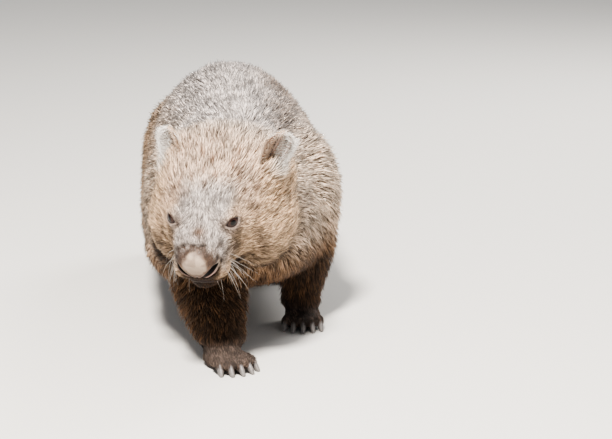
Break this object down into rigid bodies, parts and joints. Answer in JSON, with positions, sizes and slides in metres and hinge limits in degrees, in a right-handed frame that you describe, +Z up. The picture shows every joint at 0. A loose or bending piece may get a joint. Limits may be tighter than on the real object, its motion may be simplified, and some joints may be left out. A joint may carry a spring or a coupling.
{
  "type": "wombat",
  "caption": "Stocky wombat walking with its head lowered and turned a little to its right, bare broad nose, small cupped ears, short legs and long digging claws.",
  "frame": {"origin": "on the ground, under the middle of the animal's bounding box", "axes": "+Z up, -Y the way the animal walks, +X its left side"},
  "size_m": [0.306, 0.8792, 0.3505],
  "materials": {
    "short_coat": "matt, grizzled hair",
    "ear_skin": "matt, thin pale hair",
    "bare_nose": "matt, finely grained skin",
    "claw_horn": "worn horn, slightly glossy",
    "dark_eye": "wet and glossy"
  },
  "bodies": {
    "root": {"belly": "short_coat", "chest": "short_coat", "ear_left": "ear_skin", "ear_right": "ear_skin", "eye_left": "dark_eye", "eye_right": "dark_eye", "forefoot_left": "short_coat", "forefoot_left_claw_1": "claw_horn", "forefoot_left_claw_2": "claw_horn", "forefoot_left_claw_3": "claw_horn", "forefoot_left_claw_4": "claw_horn", "forefoot_left_claw_5": "claw_horn", "forefoot_right": "short_coat", "forefoot_right_claw_1": "claw_horn", "forefoot_right_claw_2": "claw_horn", "forefoot_right_claw_3": "claw_horn", "forefoot_right_claw_4": "claw_horn", "forefoot_right_claw_5": "claw_horn", "foreleg_left": "short_coat", "foreleg_right": "short_coat", "head": "short_coat", "hindfoot_left": "short_coat", "hindfoot_left_claw_1": "claw_horn", "hindfoot_left_claw_2": "claw_horn", "hindfoot_left_claw_3": "claw_horn", "hindfoot_left_claw_4": "claw_horn", "hindfoot_right": "short_coat", "hindfoot_right_claw_1": "claw_horn", "hindfoot_right_claw_2": "claw_horn", "hindfoot_right_claw_3": "claw_horn", "hindfoot_right_claw_4": "claw_horn", "hindleg_left": "short_coat", "hindleg_right": "short_coat", "jaw": "short_coat", "neck": "short_coat", "nose": "bare_nose", "rump": "short_coat", "shoulder_left": "short_coat", "shoulder_right": "short_coat", "tail": "short_coat", "thigh_left": "short_coat", "thigh_right": "short_coat"}
  },
  "joints": []
}
